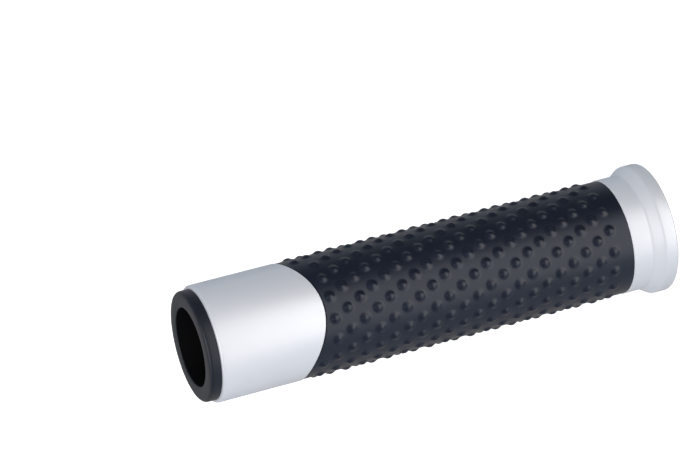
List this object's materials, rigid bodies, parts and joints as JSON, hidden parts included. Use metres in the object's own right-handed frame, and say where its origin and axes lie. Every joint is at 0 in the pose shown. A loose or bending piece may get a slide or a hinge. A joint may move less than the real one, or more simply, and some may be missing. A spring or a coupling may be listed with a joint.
{
  "type": "handlebar grip",
  "caption": "Tubular bicycle handlebar grip: a studded black rubber sleeve between a silver flanged collar and a silver end sleeve with a wavy edge, on a hard core with an open bore.",
  "frame": {"origin": "centre of the flange's end face, on which the grip stands", "axes": "+Z along the bore, from the flange to the bar end; one long tongue of the end sleeve faces -Y and the other +Y; the valleys between them face +X and -X"},
  "size_m": [0.037, 0.037, 0.1395],
  "materials": {
    "core_plastic": "moulded black, fine satin texture",
    "silver_shell": "satin metallic silver paint on a smooth moulding",
    "grip_rubber": "blue-black moulded rubber with round studs, soft sheen"
  },
  "bodies": {
    "root": {"core_tube": "core_plastic", "flange_collar": "silver_shell", "grip_sleeve": "grip_rubber", "end_sleeve": "silver_shell"}
  },
  "joints": []
}
